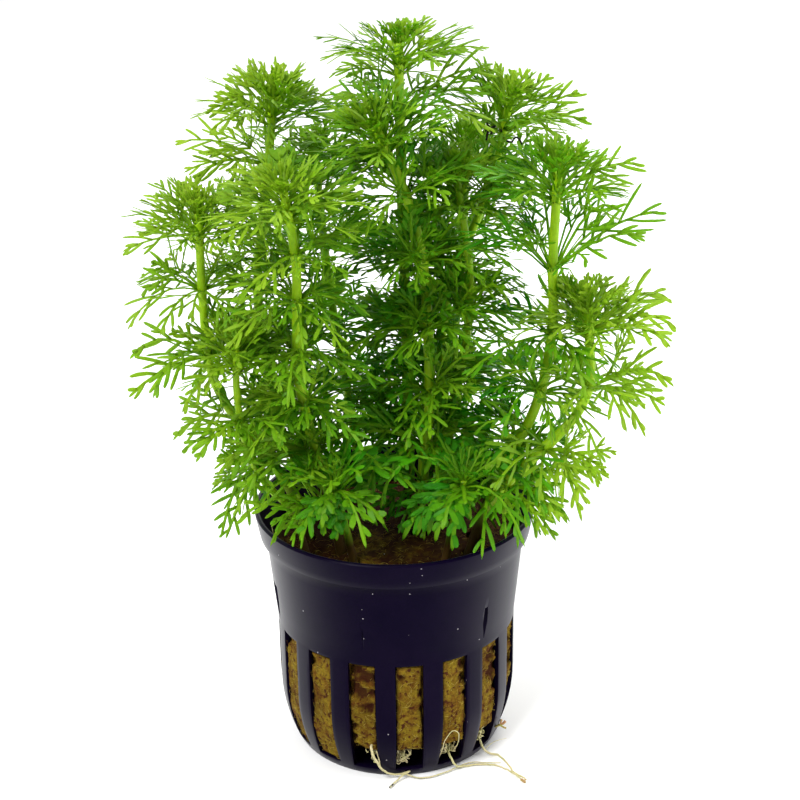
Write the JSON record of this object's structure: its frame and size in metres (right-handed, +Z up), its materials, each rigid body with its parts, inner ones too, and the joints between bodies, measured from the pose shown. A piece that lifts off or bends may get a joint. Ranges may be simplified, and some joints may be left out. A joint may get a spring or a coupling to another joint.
{
  "type": "potted dwarf ambulia",
  "caption": "Aquarium stem plant with whorls of feathery leaves on upright stems, rooted in mineral wool in a slotted round net pot with a raised rim band.",
  "frame": {"origin": "centre of the pot's underside, on the surface it stands on", "axes": "+Z up along the stems, -Y towards the front of the plant, +X to its right as seen from the front"},
  "size_m": [0.1031, 0.074, 0.1426],
  "materials": {
    "pot_plastic": "satin moulded",
    "mineral_wool": "matte fibrous",
    "stem": "smooth, slightly glossy",
    "leaf": "smooth, slightly glossy",
    "root": "smooth, moist"
  },
  "bodies": {
    "root": {"net_pot": "pot_plastic", "rock_wool": "mineral_wool", "root_front": "root", "root_right": "root", "root_side": "root", "stem_back_centre": "stem", "stem_back_left": "stem", "stem_back_right": "stem", "stem_centre": "stem", "stem_far_left": "stem", "stem_foot_left": "stem", "stem_foot_right": "stem", "stem_front_left": "stem", "stem_inner_right": "stem", "stem_low_right": "stem", "stem_rear_left": "stem", "stem_rear_right": "stem", "stem_right": "stem", "stem_short_left": "stem", "whorl_back_centre_1": "leaf", "whorl_back_centre_2": "leaf", "whorl_back_centre_3": "leaf", "whorl_back_centre_4": "leaf", "whorl_back_left_1": "leaf", "whorl_back_left_2": "leaf", "whorl_back_left_3": "leaf", "whorl_back_left_4": "leaf", "whorl_back_left_5": "leaf", "whorl_back_right_1": "leaf", "whorl_back_right_2": "leaf", "whorl_back_right_3": "leaf", "whorl_centre_1": "leaf", "whorl_centre_2": "leaf", "whorl_centre_3": "leaf", "whorl_centre_4": "leaf", "whorl_centre_5": "leaf", "whorl_far_left_1": "leaf", "whorl_far_left_2": "leaf", "whorl_far_left_3": "leaf", "whorl_front_left_1": "leaf", "whorl_front_left_2": "leaf", "whorl_front_left_3": "leaf", "whorl_front_left_4": "leaf", "whorl_front_left_5": "leaf", "whorl_inner_right_1": "leaf", "whorl_low_right_1": "leaf", "whorl_low_right_2": "leaf", "whorl_low_right_3": "leaf", "whorl_rear_left_1": "leaf", "whorl_rear_left_2": "leaf", "whorl_rear_left_3": "leaf", "whorl_rear_right_1": "leaf", "whorl_rear_right_2": "leaf", "whorl_rear_right_3": "leaf", "whorl_right_1": "leaf", "whorl_right_2": "leaf", "whorl_right_3": "leaf", "whorl_right_4": "leaf", "whorl_short_left_1": "leaf", "whorl_short_left_2": "leaf"}
  },
  "joints": []
}
